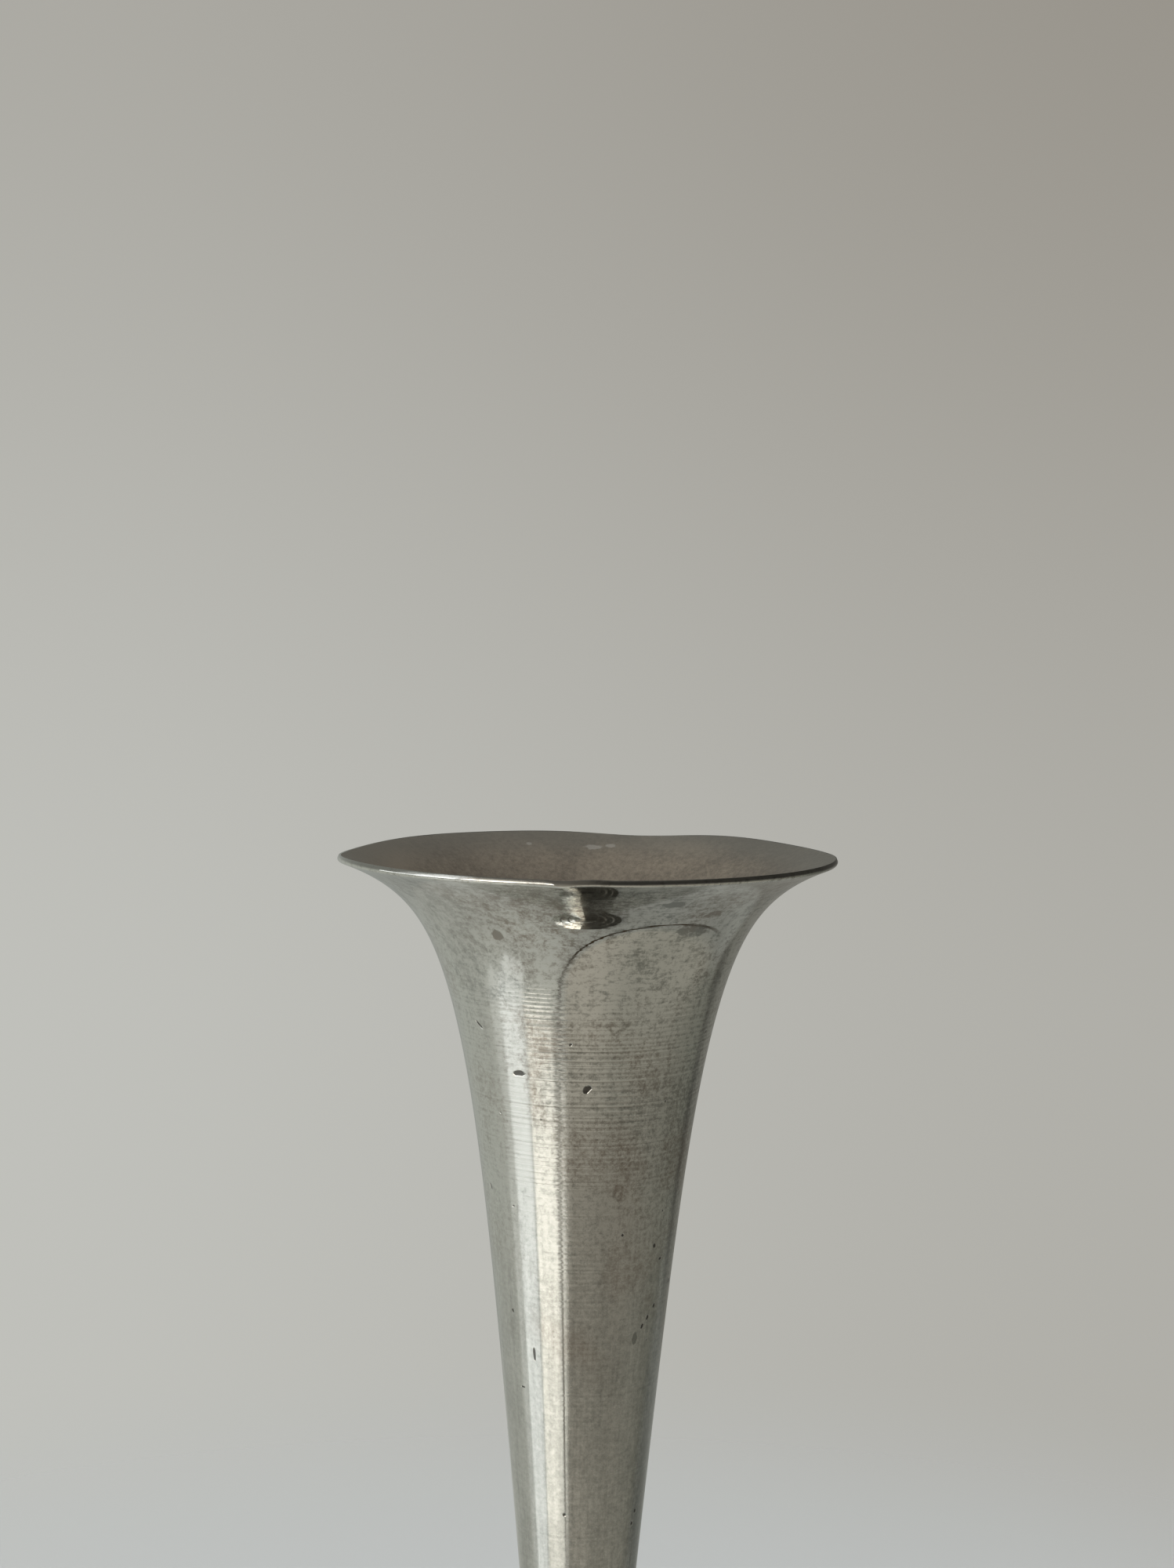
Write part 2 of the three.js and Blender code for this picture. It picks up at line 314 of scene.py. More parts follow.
def window_pane(name, from_turn, to_turn, bottom, top, colour, brightness):
    """A pane between two turns, in degrees to the left of the camera's side. Its brightness is in watts
    for a square metre."""
    light = bpy.data.lights.new(name, "AREA")
    light.shape = "RECTANGLE"
    light.size = 2 * WINDOW_DISTANCE * math.tan(math.radians(to_turn - from_turn) / 2)
    light.size_y = top - bottom
    light.color = colour
    light.energy = brightness * light.size * light.size_y
    pane = bpy.data.objects.new(name, light)
    middle = math.radians(from_turn + to_turn) / 2
    inwards = Vector((math.sin(middle), math.cos(middle), 0))
    pane.location = -WINDOW_DISTANCE * inwards + Vector((0, 0, (top + bottom) / 2))
    pane.rotation_euler = inwards.to_track_quat("-Z", "Y").to_euler()
    pane.visible_camera = False
    scene.collection.objects.link(pane)


window_pane("warm_curtain", 14, 31, SILL, WARM_TRANSOM, WARM_LIGHT, 11.0)
window_pane("warm_pane", 31, 57, SILL, WARM_TRANSOM, WARM_LIGHT, 15.5)
window_pane("warm_fanlight", 28, 57, WARM_TRANSOM, WARM_TOP, WARM_LIGHT, 6.5)
window_pane("bar", 57, 60, SILL, COOL_TRANSOM, COOL_LIGHT, 4.0)
window_pane("cool_pane", 60, 83, SILL, COOL_TRANSOM, COOL_LIGHT, 10.8)
window_pane("cool_fanlight", 60, 83, COOL_TRANSOM, COOL_TOP, COOL_LIGHT, 6.0)
window_pane("cool_curtain", 83, 94, SIDE_LIGHT_TOP, CURTAIN_TOP, COOL_LIGHT, 3.0)
window_pane("side_light", 83, 106, SILL, SIDE_LIGHT_TOP, COOL_LIGHT, 7.0)

SKY_PLACE = Vector((80, -100, 1000)) * MM
SKY_SIZE = 1600 * MM
SKY_POWER = 8.5
sky_light = bpy.data.lights.new("sky_light", "AREA")
sky_light.size = SKY_SIZE
sky_light.energy = SKY_POWER
sky = bpy.data.objects.new("sky_light", sky_light)
sky.location = SKY_PLACE
sky.rotation_euler = (-SKY_PLACE).to_track_quat("-Z", "Y").to_euler()
sky.visible_camera = False
sky.visible_glossy = False
scene.collection.objects.link(sky)


# Trumpet
# The body of the vase: one sheet of a grey, pewter-like metal spun to a trumpet and skimmed on the lathe,
# with a lip that handling has bent a little at the back and on both sides. Outside it is worn bright, with
# a thin brown patina, pits and scratches, and painted shade on the lip's top and along the stem's right edge
# and a painted highlight low on its left. Inside, where water stood, it is dull and brown, with painted shade
# at the right and towards the rim and painted light at the left.
def shader_group(name, inputs, outputs):
    group = bpy.data.node_groups.new(name, "ShaderNodeTree")
    for socket, kind in inputs.items():
        group.interface.new_socket(socket, in_out="INPUT", socket_type=kind)
    for socket in outputs:
        group.interface.new_socket(socket, in_out="OUTPUT", socket_type="NodeSocketFloat")
    return group, group.nodes.new("NodeGroupInput").outputs, group.nodes.new("NodeGroupOutput").inputs


def place_group(tree, group, inputs):
    kind = "GeometryNodeGroup" if group.bl_idname == "GeometryNodeTree" else "ShaderNodeGroup"
    node = add_node(tree, kind, {"node_tree": group}, inputs)
    return {socket.name: Measure(tree, socket) for socket in node.outputs}


def noise_over(tree, place, size, detail=2.0, coarseness=0.5, twist=0.0):
    settings = {
        "Vector": place,
        "Scale": 1 / (size * MM),
        "Detail": detail,
        "Roughness": coarseness,
        "Distortion": twist,
    }
    return Measure(tree, add_node(tree, "ShaderNodeTexNoise", {}, settings).outputs["Fac"])


def noise_along(measure, size, detail=2.0):
    settings = {"W": measure, "Scale": 1 / size, "Detail": detail}
    node = add_node(measure.tree, "ShaderNodeTexNoise", {"noise_dimensions": "1D"}, settings)
    return Measure(measure.tree, node.outputs["Fac"])


# Lathe lines run round the axis. They are spaced by the run of the outline, which is about its height plus
# a share of its radius. Sizes are in millimetres.
FLARE_SHARE = 0.8
PATCH_SIZE = 12
DRIFT_SIZE = 4.0
RIDGE_SIZE = 0.7
FINE_SIZE = 0.3
lathe_lines, given, result = shader_group(
    "lathe_lines", {"Place": "NodeSocketVector", "Pitch": "NodeSocketFloat"}, ["Ridges", "Fine"]
)
x, y, z = parts_of(lathe_lines, given["Place"])
run = (z + FLARE_SHARE * (x * x + y * y).by("SQRT")) / MM
patches = ramp(noise_over(lathe_lines, given["Place"], PATCH_SIZE), 0.3, 0.7, 0.3, 1.0)
pitch = Measure(lathe_lines, given["Pitch"])
waves = ((run / pitch + 1.6 * noise_along(run, DRIFT_SIZE)) * math.tau).by("SINE")
uneven = noise_along(run, RIDGE_SIZE) - 0.5
feed(lathe_lines, result["Ridges"], patches * (0.5 * waves + 2.4 * uneven))
feed(lathe_lines, result["Fine"], noise_along(run, FINE_SIZE, 3.0) - 0.5)

# Patina: clouds, smudges and a fine mottle of stain, streaks up the wall, scratches round it and dark
# specks. Sizes are in millimetres, and a speck's radius is a share of the spacing.
CLOUD_SIZE = 11
SMUDGE_SIZE = 3.2
MOTTLE_SIZE = 0.75
STREAK_SIZE = 1.0
STREAK_STRETCH = 0.08
SCRATCH_SIZE = 1.5
SCRATCH_STRETCH = 2.8
SPECK_SPACING = 1.7
SPECK_RADIUS = 0.17
LEAST_RADIUS = 0.0001
WRAP_RADIUS = 16
patina, given, result = shader_group(
    "patina",
    {"Place": "NodeSocketVector", "Speck Share": "NodeSocketFloat"},
    ["Clouds", "Smudges", "Mottle", "Streaks", "Scratches", "Specks"],
)
spacing = {"Vector": given["Place"], "Scale": 1 / (SPECK_SPACING * MM)}
cells = add_node(patina, "ShaderNodeTexVoronoi", {}, spacing)
cell_draw = parts_of(patina, cells.outputs["Color"])[0]
speck_radius = ramp(cell_draw, 1 - Measure(patina, given["Speck Share"]), 1.0, 0.0, SPECK_RADIUS)
speck_edge = Measure(patina, cells.outputs["Distance"]) / (speck_radius + LEAST_RADIUS)
feed(patina, result["Clouds"], noise_over(patina, given["Place"], CLOUD_SIZE, 3.0, twist=0.4) - 0.5)
smudges = noise_over(patina, given["Place"], SMUDGE_SIZE, 3.0, 0.6, 1.0)
feed(patina, result["Smudges"], 2.5 * smudges - 1.25)
feed(patina, result["Mottle"], noise_over(patina, given["Place"], MOTTLE_SIZE, 5.0, 0.9) - 0.5)
x, y, z = parts_of(patina, given["Place"])
run = z + FLARE_SHARE * (x * x + y * y).by("SQRT")
wrap = WRAP_RADIUS * MM * x.by("ARCTAN2", -y)
upright = add_node(patina, "ShaderNodeCombineXYZ", {}, {"X": wrap, "Y": STREAK_STRETCH * run})
level = add_node(patina, "ShaderNodeCombineXYZ", {}, {"X": wrap, "Y": SCRATCH_STRETCH * run})
feed(patina, result["Streaks"], noise_over(patina, upright.outputs[0], STREAK_SIZE, 3.0, 0.7) - 0.5)
scratches = noise_over(patina, level.outputs[0], SCRATCH_SIZE, 3.0, 0.6, 0.8)
feed(patina, result["Scratches"], scratches - 0.5)
feed(patina, result["Specks"], ramp(speck_edge, 1.2, 0.6))

# Mark: one pit, nick or stain, an oval of a given size that lies on the surface. Its outline is ragged.
RAGGED_SIZE = 0.9
surface_mark, given, result = shader_group(
    "surface_mark",
    dict.fromkeys(("Place", "Centre", "Turned", "Size"), "NodeSocketVector"),
    ["Inside", "Rim"],
)
laid = {"Location": given["Centre"], "Rotation": given["Turned"], "Scale": given["Size"]}
mapped = add_node(
    surface_mark, "ShaderNodeMapping", {"vector_type": "TEXTURE"}, {"Vector": given["Place"], **laid}
)
reach = add_node(surface_mark, "ShaderNodeVectorMath", {"operation": "LENGTH"}, {0: mapped.outputs[0]})
raggedness = noise_over(surface_mark, given["Place"], RAGGED_SIZE, 4.0) - 0.5
ragged = Measure(surface_mark, reach.outputs["Value"]) + 1.3 * raggedness
feed(surface_mark, result["Inside"], ramp(ragged, 1.05, 0.75))
feed(surface_mark, result["Rim"], ramp((ragged - 0.8).by("ABSOLUTE"), 0.5, 0.0))

TRUMPET = {
    "Mouth Radius": 31.5,
    "Lip Depth": 3.6,
    "Bell Spread": 8.35,
    "Bell Depth": 15.5,
    "Stem Top Radius": 16.25,
    "Stem Length": 161.0,
    "Waist Radius": 4.0,
    "Waist Height": 30.0,
    "Ankle Radius": 10.2,
    "Ankle Rise": 12.0,
    "Wall": 0.8,
    "Bottom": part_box("trumpet_body")[0].z / MM,
}
AROUND = 320
ALONG = 224
LIP_SHARE = 0.06
LIP_CROWDING = 1.3
INNER_CORNER = (0.5 * math.pi, 0.6 * math.pi)
INNER_SHARPNESS = 0.35
MICRON = 0.001 * MM


def trumpet_radius(size, depth, exp):
    """Outside radius at a depth below the lip, and how fast it grows with the depth."""
    taper = (size["Waist Radius"] - size["Stem Top Radius"]) / (size["Stem Length"] - size["Waist Height"])
    lip_spread = size["Mouth Radius"] - size["Stem Top Radius"] - size["Bell Spread"]
    ankle_spread = size["Ankle Radius"] - size["Stem Top Radius"] - taper * size["Stem Length"]
    lip = lip_spread * exp(-depth / size["Lip Depth"])
    bell = size["Bell Spread"] * exp(-depth / size["Bell Depth"])
    ankle = ankle_spread * exp((depth - size["Stem Length"]) / size["Ankle Rise"])
    radius = size["Stem Top Radius"] + taper * depth + lip + bell + ankle
    slope = taper - lip / size["Lip Depth"] - bell / size["Bell Depth"] + ankle / size["Ankle Rise"]
    return radius, slope


# Rim bend: how far a dent lowers the metal at a turn and a depth. It dies away round and below the lip.
rim_bend = bpy.data.node_groups.new("rim_bend", "GeometryNodeTree")
for socket in ("Turn", "Depth", "Centre", "Half Width", "Drop", "Reach"):
    rim_bend.interface.new_socket(socket, in_out="INPUT", socket_type="NodeSocketFloat")
rim_bend.interface.new_socket("Lowered", in_out="OUTPUT", socket_type="NodeSocketFloat")
bend_inputs = rim_bend.nodes.new("NodeGroupInput").outputs
given = {socket.name: Measure(rim_bend, socket) for socket in bend_inputs if socket.name}
aside = ((given["Turn"] - given["Centre"]).by("COSINE") - 1) * 2 / (given["Half Width"] * given["Half Width"])
lowered = given["Drop"] * (aside - given["Depth"] / given["Reach"]).by("EXPONENT")
feed(rim_bend, rim_bend.nodes.new("NodeGroupOutput").inputs["Lowered"], lowered)

# Each bend: turn and half width in degrees, drop and reach in millimetres.
RIM_BENDS = [
    (77, 16.5, 0.68, 5.0),
    (30, 16, 0.25, 5.0),
    (12, 14, 0.2, 5.0),
    (115, 40, 0.26, 5.0),
    (168, 24, 0.7, 5.0),
    (264.6, 3, 0.13, 1.5),
    (271.5, 3.5, -0.08, 1.5),
]

# Spun trumpet: a sheet of faces wrapped round the axis. Its rows run up the outside, over the lip,
# down the inside and back under the wall to the first row.
spun = bpy.data.node_groups.new("spun_trumpet", "GeometryNodeTree")
spun.interface.new_socket("Geometry", in_out="OUTPUT", socket_type="NodeSocketGeometry")
for socket in TRUMPET:
    spun.interface.new_socket(socket, in_out="INPUT", socket_type="NodeSocketFloat")
for socket in ("Around", "Along"):
    spun.interface.new_socket(socket, in_out="INPUT", socket_type="NodeSocketInt")
for socket in ("Outside Finish", "Inside Finish"):
    spun.interface.new_socket(socket, in_out="INPUT", socket_type="NodeSocketMaterial")
given = spun.nodes.new("NodeGroupInput").outputs
size = {name: Measure(spun, given[name]) for name in TRUMPET}
around = Measure(spun, given["Around"])
along = Measure(spun, given["Along"])
sheet = add_node(
    spun,
    "GeometryNodeMeshGrid",
    {},
    {"Size X": 1.0, "Size Y": 1.0, "Vertices X": around + 1, "Vertices Y": along + 1},
)
turn_share, row_share, _ = parts_of(spun, sheet.outputs["UV Map"])
before_last = row_share.by("LESS_THAN", 1 - 0.5 / along)
side = 2 * row_share * along / (along - 1) * before_last - 1
depth_share = ((side.by("ABSOLUTE") - LIP_SHARE) / (1 - LIP_SHARE)).by("MAXIMUM", 0.0)
depth = size["Stem Length"] * (1 - (depth_share.by("POWER", LIP_CROWDING) * math.pi).by("COSINE")) / 2
over_lip = ((side / LIP_SHARE).by("MAXIMUM", -1.0).by("MINIMUM", 1.0) + 1) * math.pi / 2
radius, slope = trumpet_radius(size, depth, lambda power: power.by("EXPONENT"))
steep = (1 + slope * slope).by("SQRT")
sharpness = ramp(over_lip, *INNER_CORNER, 1.0, INNER_SHARPNESS)
turned_in = over_lip.by("COSINE")
sunk = 1 - turned_in.by("SIGN") * turned_in.by("ABSOLUTE").by("POWER", sharpness)
raised = over_lip.by("SINE").by("MAXIMUM", 0.0).by("POWER", sharpness)
half_wall = size["Wall"] / 2
wall_radius = radius - half_wall * (sunk + slope * raised) / steep
wall_height = size["Bottom"] + size["Stem Length"] - depth - half_wall * (slope * sunk - raised) / steep
wall_height = wall_height.by("MAXIMUM", size["Bottom"])
turn = turn_share * math.tau
for centre, half_width, drop, reach in RIM_BENDS:
    bend = {"Centre": math.radians(centre), "Half Width": math.radians(half_width)}
    here = {"Turn": turn, "Depth": depth, "Drop": drop, "Reach": reach}
    wall_height -= place_group(spun, rim_bend, {**bend, **here})["Lowered"]
place = {
    "X": wall_radius * turn.by("COSINE") * MM,
    "Y": wall_radius * turn.by("SINE") * MM,
    "Z": wall_height * MM,
}
wrapped = add_node(spun, "ShaderNodeCombineXYZ", {}, place)
named = add_node(
    spun,
    "GeometryNodeStoreNamedAttribute",
    {"data_type": "FLOAT2", "domain": "CORNER"},
    {"Geometry": sheet.outputs["Mesh"], "Name": "UVMap", "Value": sheet.outputs["UV Map"]},
)
inside = side.by("GREATER_THAN", LIP_SHARE)
steps = [
    ("GeometryNodeSetPosition", {"Position": wrapped.outputs[0]}),
    ("GeometryNodeMergeByDistance", {"Distance": MICRON}),
    ("GeometryNodeSetShadeSmooth", {}),
    ("GeometryNodeRealizeInstances", {}),
    ("GeometryNodeSetMaterial", {"Material": given["Outside Finish"]}),
    ("GeometryNodeSetMaterial", {"Material": given["Inside Finish"], "Selection": inside}),
]
made = named
for kind, inputs in steps:
    made = add_node(spun, kind, {}, {"Geometry": made.outputs[0], **inputs})
feed(spun, spun.nodes.new("NodeGroupOutput").inputs["Geometry"], made.outputs[0])

PEWTER = rgb(0.62, 0.615, 0.58)
PEWTER_STAIN = rgb(0.29, 0.295, 0.275)
PEWTER_BROWN = rgb(0.315, 0.28, 0.245)
# The pit colour also paints the shade on the lip's top.
PEWTER_PIT_AND_SHADE = rgb(0.06, 0.055, 0.05)


def spot_on_trumpet(turn, height, width, length, lean=0, inset=0):
    """Inputs that lay a mark on the wall: its turn and lean in degrees, the rest in millimetres."""
    lip_edge = TRUMPET["Bottom"] + TRUMPET["Stem Length"]
    radius = trumpet_radius(TRUMPET, lip_edge - height, math.exp)[0] - inset
    angle = math.radians(turn)
    return {
        "Centre": Vector((radius * math.cos(angle), radius * math.sin(angle), height)) * MM,
        "Turned": (math.radians(lean), 0, angle),
        "Size": Vector((1.0, width / 2, length / 2)) * MM,
    }


PITS = [
    spot_on_trumpet(271.4, 150.1, 1.2, 1.0, 25),
    spot_on_trumpet(238.6, 151.6, 2.0, 0.8),
    spot_on_trumpet(218.4, 157.1, 1.6, 0.35, -38),
    spot_on_trumpet(206.9, 135.6, 0.9, 0.35, -60),
    spot_on_trumpet(236.9, 115.0, 0.35, 1.9, 4),
    spot_on_trumpet(318.0, 128.9, 0.4, 0.6, 10),
    spot_on_trumpet(325.3, 126.9, 0.6, 0.4),
    spot_on_trumpet(344.6, 123.0, 1.0, 0.6),
    spot_on_trumpet(324.2, 120.8, 0.4, 0.8, -15),
    spot_on_trumpet(318.6, 119.5, 0.4, 0.6, -20),
    spot_on_trumpet(314.2, 118.5, 0.4, 0.7, -25),
    spot_on_trumpet(327.6, 93.3, 0.5, 0.5),
    spot_on_trumpet(219.3, 120.0, 0.4, 0.6, 20),
    spot_on_trumpet(224.7, 110.2, 0.9, 0.25),
]
RINGS = [spot_on_trumpet(289.4, 136.7, 1.3, 2.3, -5), spot_on_trumpet(283.2, 158.1, 2.7, 2.1, 10)]
STAINS = [
    spot_on_trumpet(240.5, 169.3, 2.0, 1.5, 20),
    spot_on_trumpet(305.4, 170.2, 5.0, 2.2, -10),
    spot_on_trumpet(293.1, 174.1, 3.0, 1.2),
    spot_on_trumpet(309.1, 172.3, 2.6, 1.3, 15),
    spot_on_trumpet(308.3, 117.0, 0.9, 1.8),
]
SCALE_SPOTS = [
    spot_on_trumpet(88.4, 175.4, 2.6, 0.7, 0, TRUMPET["Wall"]),
    spot_on_trumpet(83.5, 175.6, 1.6, 0.5, 0, TRUMPET["Wall"]),
    spot_on_trumpet(107.0, 175.8, 0.9, 0.4, 0, TRUMPET["Wall"]),
]


# Where wear outside begins and where it is full, and where the painted shade along the right edge and on the
# lip's top sets in: heights in millimetres.
PITTED_UP = (162.0, 156.0)
POLISHED_UP = (162.0, 168.5)
GROOVED_UP = (131.0, 149.0)
UNGROOVED_UP = (158.0, 167.0)
FLARE_UP = (156.0, 164.0)
CLEAN_UP = (118.0, 138.0)
SOILED_UP = (112.0, 148.0)
BROWN_UP = (124.0, 100.0)
RIGHT_EDGE_UP = (158.0, 146.0)
RIGHT_EDGE_LOW = (125.0, 105.0)
LIP_STAIN_UP = (169.0, 175.5)
LIP_CLEAN_UP = (176.0, 176.6)
LIP_SHADE_UP = (177.0, 177.3)
# The same from left to right, as a share of the radius.
LEFT_SIDE = (-0.3, -0.75)
RIGHT_SIDE = (0.65, 0.95)
CLOUDED_SIDE = (0.1, 0.5)
SCRATCHED_SIDE = (-0.4, 0.1)
# Bands of wear: where each begins, is full, wanes and ends.
FRONT_LEFT_SIDE = (-0.55, -0.4, -0.15, 0.0)
CLOUDED_UP = (132.0, 140.0, 148.0, 156.0)
RUBBED_SIDE = (-0.7, -0.58, -0.48, -0.4)
RUBBED_UP = (136.0, 141.0, 149.0, 154.0)
DULL_SIDE = (-0.55, -0.42, -0.25, -0.15)
DULL_UP = (142.0, 148.0, 157.0, 163.0)


def band(measure, start, full, wane, end):
    """A soft band of a measure, which rises from start to full and falls from wane to end."""
    return ramp(measure, start, full) * ramp(measure, end, wane)


def mark_at(tree, place, spot, part="Inside"):
    return place_group(tree, surface_mark, {"Place": place, **spot})[part]


def object_place(tree):
    return add_node(tree, "ShaderNodeTexCoord", {}, {}).outputs["Object"]


def turned_finish(tree, shader):
    """Sets a shader's metal to mirror along the lathe lines and to smear light across them."""
    shader.inputs["Metallic"].default_value = 1.0
    shader.inputs["Anisotropic"].default_value = 1.0
    shader.inputs["Anisotropic Rotation"].default_value = 0.25
    tangent = add_node(tree, "ShaderNodeTangent", {"direction_type": "RADIAL", "axis": "Z"}, {})
    feed(tree, shader.inputs["Tangent"], tangent.outputs[0])


def emboss(tree, shader, relief):
    """Raises a shader's surface by a relief in thousandths of a millimetre."""
    bump = add_node(tree, "ShaderNodeBump", {}, {"Height": relief, "Distance": MICRON, "Strength": 1.0})
    feed(tree, shader.inputs["Normal"], bump.outputs[0])


turned_pewter, tree, shader = start_material("turned_pewter")
turned_finish(tree, shader)
place = object_place(tree)
lines = place_group(tree, lathe_lines, {"Place": place, "Pitch": 0.75})
age = place_group(tree, patina, {"Place": place, "Speck Share": 0.12})
from_middle, from_front, height_up = [part / MM for part in parts_of(tree, place)]
to_right = from_middle / (from_middle * from_middle + from_front * from_front).by("SQRT")
pits = age["Specks"] * ramp(height_up, *PITTED_UP)
for spot in PITS:
    pits = pits.by("MAXIMUM", mark_at(tree, place, spot))
polish = ramp(height_up, *POLISHED_UP)
flare = ramp(height_up, *FLARE_UP)
at_left = ramp(to_right, *LEFT_SIDE)
grooved = ramp(height_up, *GROOVED_UP, 0.22, 1.0) * ramp(height_up, *UNGROOVED_UP, 1.0, 0.08)
grooved = grooved * (1 - 0.45 * at_left)
# Along the stem's right edge the metal is painted darker: painted shade for the dim room that it mirrors.
right_edge_shade = 0.3 * ramp(height_up, *RIGHT_EDGE_UP) + 0.25 * ramp(height_up, *RIGHT_EDGE_LOW)
shade_at_right = ramp(to_right, *RIGHT_SIDE) * right_edge_shade
right_cloud = ramp(to_right, *CLOUDED_SIDE) * band(height_up, *CLOUDED_UP)
left_of_front = band(to_right, *FRONT_LEFT_SIDE)
scratched = ramp(to_right, *SCRATCHED_SIDE, 0.35, 1.0)
rubbed_patch = band(to_right, *RUBBED_SIDE) * band(height_up, *RUBBED_UP)
dull_patch = band(to_right, *DULL_SIDE) * band(height_up, *DULL_UP)
soiled = ramp(height_up, *SOILED_UP, 0.48, 1.0) * (1 - 0.35 * at_left)
# Low on the stem the left side, which mirrors the window, is painted lighter: a painted highlight.
stains = 0.42 - 0.22 * ramp(height_up, *CLEAN_UP) - 0.12 * (1 - flare) * at_left
stains = stains + 0.75 * (1 - 0.6 * flare) * age["Clouds"] + 5.0 * soiled * age["Mottle"]
stains = stains + 0.9 * age["Streaks"] + 2.4 * flare * scratched * age["Scratches"]
stains = stains + 0.8 * flare * age["Smudges"]
stains = stains + 0.27 * ramp(height_up, *LIP_STAIN_UP) - 0.5 * ramp(height_up, *LIP_CLEAN_UP)
# The first term here is the painted shade along the right edge.
stains = stains + shade_at_right + 0.22 * right_cloud - 0.45 * rubbed_patch + 0.28 * dull_patch
stains = stains + grooved * (0.45 * lines["Ridges"] + 0.5 * lines["Fine"])
for spot in RINGS:
    stains = stains + 0.4 * mark_at(tree, place, spot, "Rim")
for spot in STAINS:
    stains = stains + 0.9 * mark_at(tree, place, spot)
browned = ramp(age["Clouds"] - ramp(height_up, *BROWN_UP, 0.0, 0.2), -0.15, 0.15)
stain_hue = mix_colours(tree, browned, PEWTER_STAIN, PEWTER_BROWN)
colour = mix_colours(tree, stains, PEWTER, stain_hue)
# The top of the lip is painted dark in the pit colour: painted shade for the dim room that its edge mirrors.
lip_shade = 0.65 * ramp(height_up, *LIP_SHADE_UP)
pits_and_lip_shade = mix_colours(tree, (0.9 * pits).by("MAXIMUM", lip_shade), colour, PEWTER_PIT_AND_SHADE)
feed(tree, shader.inputs["Base Color"], pits_and_lip_shade)
feed(tree, shader.inputs["Roughness"], 0.09 - 0.07 * polish + 0.03 * stains + 0.2 * lip_shade)
relief = grooved * (1 + 0.9 * left_of_front) * (9 * lines["Ridges"] + 6 * lines["Fine"])
emboss(tree, shader, relief - 60 * pits)

TARNISH = rgb(0.205, 0.179, 0.143)
# The dark tarnish colour also paints shade on the inside's right, and the rim colour is painted shade towards
# the rim.
TARNISH_DARK_AND_SHADE = rgb(0.09, 0.078, 0.064)
RIM_SHADE = rgb(0.112, 0.11, 0.097)
LIMESCALE = rgb(0.34, 0.335, 0.31)
# Distances across, in millimetres, where the painted shade on the inside's right and the painted light on its
# left set in, and heights where the painted shade towards the rim does.
SHADED_RIGHT = (8.0, 26.0)
LIT_LEFT = (-18.0, -30.0)
RIM_SHADE_UP = (173.6, 177.2)
tarnished_bore, tree, shader = start_material("tarnished_bore")
shader.inputs["Metallic"].default_value = 0.3
shader.inputs["Specular IOR Level"].default_value = 0.25
place = object_place(tree)
lines = place_group(tree, lathe_lines, {"Place": place, "Pitch": 0.9})
age = place_group(tree, patina, {"Place": place, "Speck Share": 0.06})
from_middle, _, height_up = [part / MM for part in parts_of(tree, place)]
# The inside is painted darker at the right, where the window lights it, and lighter at the left: painted
# shade and painted light, over the mottled tarnish.
dirt_and_shade = 0.3 + 0.6 * ramp(from_middle, *SHADED_RIGHT) - 0.5 * ramp(from_middle, *LIT_LEFT)
dirt_and_shade = dirt_and_shade + 1.2 * age["Clouds"] + 2.6 * age["Mottle"]
tarnish_and_shade = mix_colours(tree, dirt_and_shade, TARNISH, TARNISH_DARK_AND_SHADE)
# Towards the rim the inside is painted darker: painted shade.
rim_shade = 0.7 * ramp(height_up + 2 * age["Clouds"], *RIM_SHADE_UP)
inner_colour = mix_colours(tree, rim_shade, tarnish_and_shade, RIM_SHADE)
for spot in SCALE_SPOTS:
    inner_colour = mix_colours(tree, 0.4 * mark_at(tree, place, spot), inner_colour, LIMESCALE)
feed(tree, shader.inputs["Base Color"], inner_colour)
feed(tree, shader.inputs["Roughness"], 0.45 + 0.2 * age["Mottle"])
emboss(tree, shader, 2.0 * lines["Ridges"] + 3.0 * age["Mottle"])


def grow(name, group, values):
    """Runs a Geometry Nodes tree with these inputs and returns its result as a plain mesh object."""
    seed = bpy.data.objects.new(name + "_seed", bpy.data.meshes.new(name + "_seed"))
    scene.collection.objects.link(seed)
    modifier = seed.modifiers.new("tree", "NODES")
    modifier.node_group = group
    for socket in group.interface.items_tree:
        if socket.in_out == "INPUT":
            modifier[socket.identifier] = values[socket.name]
    evaluated = seed.evaluated_get(bpy.context.evaluated_depsgraph_get())
    mesh = bpy.data.meshes.new_from_object(evaluated)
    mesh.name = name
    bpy.data.objects.remove(seed)
    piece = bpy.data.objects.new(name, mesh)
    scene.collection.objects.link(piece)
    return piece


finishes = {"Outside Finish": turned_pewter, "Inside Finish": tarnished_bore}
trumpet = grow("trumpet", spun, {**TRUMPET, "Around": AROUND, "Along": ALONG, **finishes})
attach(trumpet, "root")
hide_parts("trumpet_body")


# Stem plug
# A brass stopper, turned to the inside of the ankle and soldered there. It keeps the water in, and the tie
# rod screws up into its blind hole. Only its dull top could be seen, deep in the bore.
BRASS = rgb(0.45, 0.33, 0.14)
BRASS_DULL = rgb(0.20, 0.145, 0.075)


def dress(node, finish):
    """Gives a CAD node, whose shape is kept, its finish."""
    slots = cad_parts[node].data.materials
    slots.clear()
    slots.append(finish)


